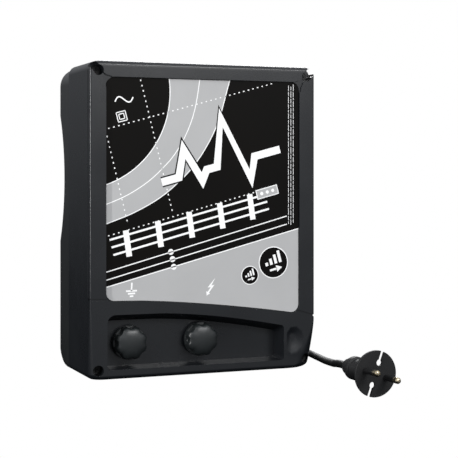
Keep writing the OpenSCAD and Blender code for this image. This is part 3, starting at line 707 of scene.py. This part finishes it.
# Each is the depth from the back, the radius, and the share of the scallops there.
knob_profile = [(0, 14.1, 0), (0.35, 14.5, 0), (2.1, 14.5, 0), (2.5, 14.2, 0), (2.6, 14.2, 1),
                (6.4, 14.2, 0.95), (8, 13.9, 0.75), (9.2, 13.2, 0.55), (10.1, 12.1, 0.35),
                (10.8, 10.6, 0.2), (11.3, 8.7, 0.1), (11.7, 6.2, 0), (11.93, 3.2, 0), (12, 1, 0)]
for k, name in enumerate(("earth", "fence")):
    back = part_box(name + "_knob")[1].y / MM
    rings = []
    for d, r, share in knob_profile:
        turns = [2 * math.pi * i / 128 for i in range(128)]
        radii = [sum(lobed(a + math.radians(s), share) for s in (-3, -1, 1, 3)) / 4 * r / KNOB_R
                 for a in turns]
        rings.append([(terminal_x[k] + q * math.cos(a), back - d, TERMINAL_Z + q * math.sin(a))
                      for a, q in zip(turns, radii)])
    knob = loft(name + "_knob_moulding", rings)
    combine(knob, bar_y("bore", terminal_x[k], TERMINAL_Z, 6.52, back - 8.05, back + 1))
    soften(knob, 0.15, 1, 50)
    dress(knob, knob_black)
    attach(knob, name + "_grip")
    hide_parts(name + "_knob")
# Zinc-plated steel: a pale, slightly cloudy grey.
zinc = metal("zinc_plate", "#8f9498", "#b5b9bb", 0.35)
dress_nodes(zinc, "earth_clamp_washer", "fence_clamp_washer", "earth_lock_nut", "fence_lock_nut",
            "board_screws", "transformer_strap", "strap_screws")
dress_nodes(threaded("zinc_thread", "#8f9498", "#b5b9bb", 0.35, 1.25), "earth_stud", "fence_stud")
dress_nodes(metal("turned_brass", "#9c7f42", "#b99a58", 0.32), "earth_knob_insert", "fence_knob_insert",
            "earth_lug", "fence_lug", "fuse_clips")
# The four long cover screws are dull steel in a near-black colour. The colour is painted shade that stands in
# for the dark deep in their wells.
screw_painted_shade, screw_shade_tree, screw_shade_bsdf = shader("screw_painted_shade", "#0c0c0d", 0.5, Specular_IOR_Level=0.3)
screw_shade_place = node(screw_shade_tree, "TexCoord")
screw_shade_marks = node(screw_shade_tree, "TexNoise", [("Vector", screw_shade_place, "Object")], _2=400, _3=5)
screw_shade_tone = node(screw_shade_tree, "ValToRGB", [("Fac", screw_shade_marks, "Fac")])
screw_shade_tone.color_ramp.elements[0].color = linear("#070707")
screw_shade_tone.color_ramp.elements[1].color = linear("#161617")
screw_shade_tree.links.new(screw_shade_tone.outputs["Color"], screw_shade_bsdf.inputs["Base Color"])
dress_nodes(screw_painted_shade, "cover_screws")

# --- Plug and cord fittings -------------------------------------------------------
# A flat contour plug: a thin round face with two keyhole slots through it, a low hub
# and a stepped boot with flex ribs. It lies tipped over on its rim.
PLUG_FACE, PLUG_YAW, PLUG_ROLL = (79.5, -205, 18), 2, 20
PLUG_R, PLATE = 18, 2.2
plug_place = (Matrix.Translation(Vector(PLUG_FACE) * MM) @ Matrix.Rotation(math.radians(PLUG_YAW), 4, "Z")
              @ Matrix.Rotation(math.radians(PLUG_ROLL), 4, "Y"))


def lathe(name, profile, matrix, sides=56):
    """A round piece about the local Y axis, from (y, radius) pairs, then put in place."""
    piece = loft(name, [ring_at(arc(0, 0, r, 0, 360, sides)[:-1], y) for y, r in profile])
    piece.data.transform(matrix)
    return piece


def join_onto(body, *tools):
    for tool in tools:
        combine(body, tool, "UNION")


# Soft PVC. The plug's is dull and grainy, and the sheath's a finer, drawn matt.
cord_rubber = moulded("cord_rubber", "#0f0f10", "#161617", 0.55, 0.45, 0.6, 15, Specular_IOR_Level=0.35)
cord_sheath = moulded("cord_sheath", "#060606", "#0a0a0a", 0.5, 0.8, 0.2, 60, Specular_IOR_Level=0.2)
dress(mains_cord, cord_sheath)
flat = Matrix.Identity(4)
plug = lathe("plug_moulding", [(0, PLUG_R - 0.5), (0.15, PLUG_R - 0.15), (0.5, PLUG_R), (PLATE - 0.5, PLUG_R),
                               (PLATE, PLUG_R - 0.5)], flat, 96)
hub = [[(x, y, z) for x, z in arc(-w + r, -h + r, r, 180, 90, 5) + arc(w - r, -h + r, r, 270, 90, 5)
        + arc(w - r, h - r, r, 0, 90, 5) + arc(-w + r, h - r, r, 90, 90, 5)]
       for y, w, h, r in ((PLATE - 0.5, 13, 6.3, 3), (12, 12.4, 6.2, 3), (16, 9, 6, 3))]
boot_profile = [(4, 6.3), (16, 6.3), (28.2, 7.9), (28.6, 9), (29.2, 9.3), (33.4, 9.3), (34, 8.9),
                (34.4, 7.6), (35.2, 7.6), (35.5, 7.9), (37.7, 7.7), (38, 7.3), (38.2, 6.4),
                (39, 6.4), (39.3, 6.7), (41.5, 6.5), (41.9, 6.1), (42, 5.3), (43, 5.2), (45, 4.6)]
boot = lathe("boot", boot_profile, flat)
join_onto(plug, loft("hub", hub), boot)
for side in (-1, 1):
    combine(plug, bar_y("blob", 0, side * 9, 2.5, -2, PLATE + 2, 32))
    slot_line = [(-1.4, side * 9), (1.4, side * 9), (1.5, side * (PLUG_R + 2)), (-1.5, side * (PLUG_R + 2))]
    combine(plug, prism("slot", slot_line, -2, PLATE + 2))
    combine(plug, bar_y("pin_hole", side * 9.5, 0, 1.95, -2, 8.05, 24))
plug.data.transform(plug_place)
soften(plug, 0.35, 2, 35)
dress(plug, cord_rubber)
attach(plug, HOUSING)
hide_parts("plug_body")
dress_nodes(metal("pin_nickel", "#b7aa8e", "#d8cdb4", 0.22), "plug_pins")
dress_nodes(moulded("sleeve_black", "#0e0e0f", "#151516", 0.35, 0.8, 0.15, 10), "plug_pin_sleeves")

# The cord enters the right-hand wall through a gland with a tapered, ribbed relief.
gland_black = moulded("gland_black", "#101112", "#161718", 0.4, 0.6, 0.2, 12)
relief_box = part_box("strain_relief")
relief_x0, relief_x1 = relief_box[0].x / MM, relief_box[1].x / MM
along_x = Matrix.Translation((0, GLAND_Y * MM, GLAND_Z * MM)) @ Matrix.Rotation(math.radians(-90), 4, "Z")
relief_profile = [(relief_x0, 6)]
for k in range(4):
    x0 = relief_x0 + 1.4 + 2.6 * k
    r = 6 - 1.7 * (x0 - relief_x0) / (relief_x1 - relief_x0)
    relief_profile += [(x0, r), (x0 + 0.2, r - 0.8), (x0 + 1.2, r - 0.9), (x0 + 1.4, r - 0.15)]
relief_profile += [(relief_x1 - 0.3, 4.3), (relief_x1, 4)]
relief = lathe("relief_moulding", relief_profile, along_x, 48)
combine(relief, lathe("relief_bore", [(relief_x0 - 1, 3.2), (relief_x1 + 1, 3.2)], along_x, 48))
soften(relief, 0.15, 1, 40)
dress(relief, cord_rubber)
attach(relief, HOUSING)
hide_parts("strain_relief")
dress_nodes(gland_black, "cord_gland", "gland_nut", "transformer_bobbin")

# A hook-and-loop band holds the coil's turns together at its left.
TIE_Y0, TIE_Y1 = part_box("cord_tie")[0].y / MM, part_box("cord_tie")[1].y / MM
tie_l, tie_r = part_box("cord_tie")[0].x / MM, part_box("cord_tie")[1].x / MM
tie_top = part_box("cord_tie")[1].z / MM


def tie_loop(d):
    r = 5 - d * 0.6
    loop = arc(tie_l + d + r, d + r, r, 180) + arc(tie_r - d - r, d + r, r, 270)
    return loop + arc(tie_r - d - r, tie_top - d - r, r, 0) + arc(tie_l + d + r, tie_top - d - r, r, 90)


tie = prism("tie_band", tie_loop(0), TIE_Y0, TIE_Y1)
combine(tie, prism("tie_hollow", tie_loop(1.2), TIE_Y0 - 1, TIE_Y1 + 1))
soften(tie, 0.25, 2, 40)
dress(tie, moulded("tie_fabric", "#0d0d0e", "#191919", 0.85, 0.5, 1.0, 6))
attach(tie, HOUSING)
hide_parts("cord_tie")

# --- Inside -----------------------------------------------------------------------
# The electronics and wiring, each piece in its usual material.


def banded(name, base, bands, band_mm, direction, roughness, **sockets):
    """Bands of a second colour across one axis, broken up a little by noise."""
    material, tree, bsdf = shader(name, base, roughness, **sockets)
    place = node(tree, "TexCoord")
    wave = node(tree, "TexWave", [("Vector", place, "Object")], bands_direction=direction,
                _1=1000 * math.pi / 10 / band_mm, _2=0.4, _3=2)
    tone = node(tree, "ValToRGB", [("Fac", wave, "Fac")])
    tone.color_ramp.elements[0].color = linear(base)
    tone.color_ramp.elements[1].color = linear(bands)
    tree.links.new(tone.outputs["Color"], bsdf.inputs["Base Color"])
    bump = node(tree, "Bump", [("Height", wave, "Fac")], _0=0.4, _1=0.2 * MM)
    tree.links.new(bump.outputs["Normal"], bsdf.inputs["Normal"])
    return material


def board_material():
    """Green solder mask with copper tracks that show through as paler lines."""
    material, tree, bsdf = shader("solder_mask", "#0e4a26", 0.3)
    place = node(tree, "TexCoord")
    tracks = node(tree, "TexBrick", [("Vector", place, "Object")], offset=0.5, _4=260, _5=0.03)
    tracks.inputs["Color1"].default_value = linear("#0e4a26")
    tracks.inputs["Color2"].default_value = linear("#11532b")
    tracks.inputs["Mortar"].default_value = linear("#2f7a45")
    turned = node(tree, "Mapping", [("Vector", place, "Object")])
    turned.inputs["Rotation"].default_value = (math.radians(90), 0, 0)
    tree.links.new(turned.outputs["Vector"], tracks.inputs["Vector"])
    tree.links.new(tracks.outputs["Color"], bsdf.inputs["Base Color"])
    return material


dress_nodes(board_material(), "circuit_board")
dress_nodes(moulded("seal_rubber", "#0b0b0b", "#121212", 0.7, 0.8, 0.5, 20), "housing_seal")
dress_nodes(moulded("capacitor_sleeve", "#1d2c55", "#24356a", 0.3, 3, 0.1, 20), "storage_capacitors")
dress_nodes(banded("laminations", "#3c3d40", "#56575a", 0.5, "Y", 0.5, Metallic=0.7), "transformer_core")
dress_nodes(banded("enamelled_wire", "#7a3d16", "#c2763a", 0.6, "Z", 0.3, Metallic=0.8),
            "transformer_winding")
dress_nodes(moulded("moulded_epoxy", "#0d0d0e", "#161617", 0.5, 0.4, 0.4, 6), "thyristor", "control_chip",
            "rectifier_diodes")
dress_nodes(banded("extruded_aluminium", "#a7a9ac", "#c3c5c7", 0.3, "X", 0.35, Metallic=1.0), "heat_sink")
dress_nodes(moulded("fuse_glass", "#c6cfd0", "#dbe2e3", 0.08, 4, 0.05, 8, Transmission_Weight=0.7), "fuse")
dress_nodes(banded("resistor_coat", "#b9a981", "#cabb93", 4, "X", 0.5), "power_resistors")
dress_nodes(moulded("can_sleeve", "#15193a", "#1d2350", 0.3, 3, 0.1, 8), "filter_capacitor")
dress_nodes(moulded("dipped_blue", "#1b3f8a", "#234c9e", 0.35, 1.2, 0.4, 6), "varistor")
dress_nodes(moulded("block_green", "#1f6b38", "#257a41", 0.45, 0.6, 0.2, 10), "terminal_block")
for name, dark, light in (("earth_lead", "#2f7d2a", "#3a8c33"), ("fence_lead", "#9c1717", "#b02020"),
                          ("live_lead", "#5c3219", "#6b3c20"), ("neutral_lead", "#1b3a9c", "#2345b0")):
    dress_nodes(moulded(name + "_skin", dark, light, 0.4, 1.0, 0.15, 15), name)

# --- Studio -----------------------------------------------------------------------
# No floor: the object stands against white that only the camera sees. The room is
# lighter above and in front, and four lamps give the sheen, the edge line and the back.
world = bpy.data.worlds.new("studio")
world.use_nodes = True
world_tree = world.node_tree
room = world_tree.nodes["Background"]
place = node(world_tree, "TexCoord")
lean = node(world_tree, "VectorMath", [(0, place, "Generated")], operation="DOT_PRODUCT")
lean.inputs[1].default_value = (-0.15, -0.3, 1.1)
level = node(world_tree, "Math", [(0, lean, "Value")], operation="ADD", _1=0.36)
shade = node(world_tree, "ValToRGB", [("Fac", level, "Value")])
shade.color_ramp.elements[0].color = linear("#0e0f10")
shade.color_ramp.elements[1].color = linear("#f4f7fc")
world_tree.links.new(shade.outputs["Color"], room.inputs["Color"])
room.inputs["Strength"].default_value = 0.9
paper = node(world_tree, "Background")
paper.inputs["Color"].default_value = linear("#ffffff")
ray = node(world_tree, "LightPath")
seen = node(world_tree, "MixShader", [("Fac", ray, "Is Camera Ray")])
world_tree.links.new(room.outputs["Background"], seen.inputs[1])
world_tree.links.new(paper.outputs["Background"], seen.inputs[2])
world_tree.links.new(seen.outputs["Shader"], world_tree.nodes["World Output"].inputs["Surface"])
bpy.context.scene.world = world
bpy.context.scene.view_settings.view_transform = "Standard"


def soft_lamp(name, place, aim, size, power):
    """A flat rectangular lamp, in metres and watts, turned to face the point aimed at."""
    bpy.ops.object.light_add(type="AREA", location=place)
    lamp = bpy.context.object
    lamp.name = name
    lamp.data.shape = "RECTANGLE"
    lamp.data.size, lamp.data.size_y = size
    lamp.data.energy = power
    lamp.rotation_euler = (Vector(aim) - Vector(place)).to_track_quat("-Z", "Y").to_euler()


soft_lamp("key", (-1.0, -1.5, 1.2), (0, 0, 0.15), (0.7, 0.7), 2)
soft_lamp("front_gloss", (0.45, -1.42, 0.8), (0, 0, 0.15), (0.7, 0.3), 13)
soft_lamp("edge", (-1.33, -0.43, 0.42), (-0.1, 0, 0.15), (0.03, 0.7), 14)
soft_lamp("behind", (0.7, 1.5, 0.9), (0, 0, 0.12), (0.8, 0.8), 16)
